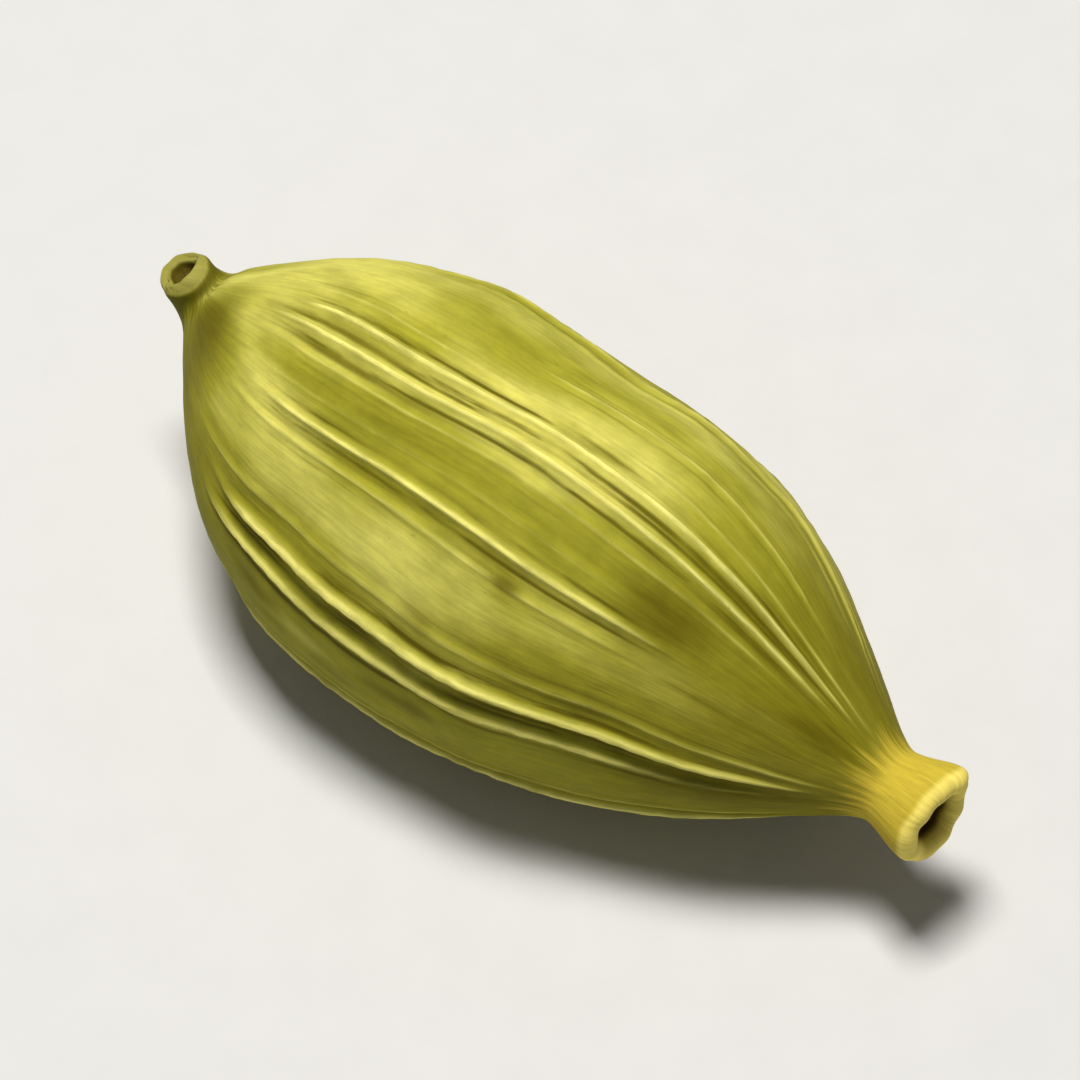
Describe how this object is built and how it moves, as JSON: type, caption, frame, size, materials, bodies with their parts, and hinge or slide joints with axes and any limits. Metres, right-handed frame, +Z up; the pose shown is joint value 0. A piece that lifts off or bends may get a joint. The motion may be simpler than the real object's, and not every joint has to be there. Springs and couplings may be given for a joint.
{
  "type": "green cardamom pod",
  "caption": "Dried green cardamom pod: a ribbed, three-cornered capsule with a short hooked stalk stub at one end and a flared, hollow collar at the other.",
  "frame": {"origin": "the middle of the pod's bounding box, on the surface that it lies on", "axes": "+X along the pod from the stalk stub to the flower collar, +Z up from the surface that it lies on, +Y to the side away from the front view"},
  "size_m": [0.0164, 0.0074, 0.0072],
  "materials": {
    "pod_skin": "matt, papery"
  },
  "bodies": {
    "root": {"cardamom_pod": "pod_skin"}
  },
  "joints": []
}
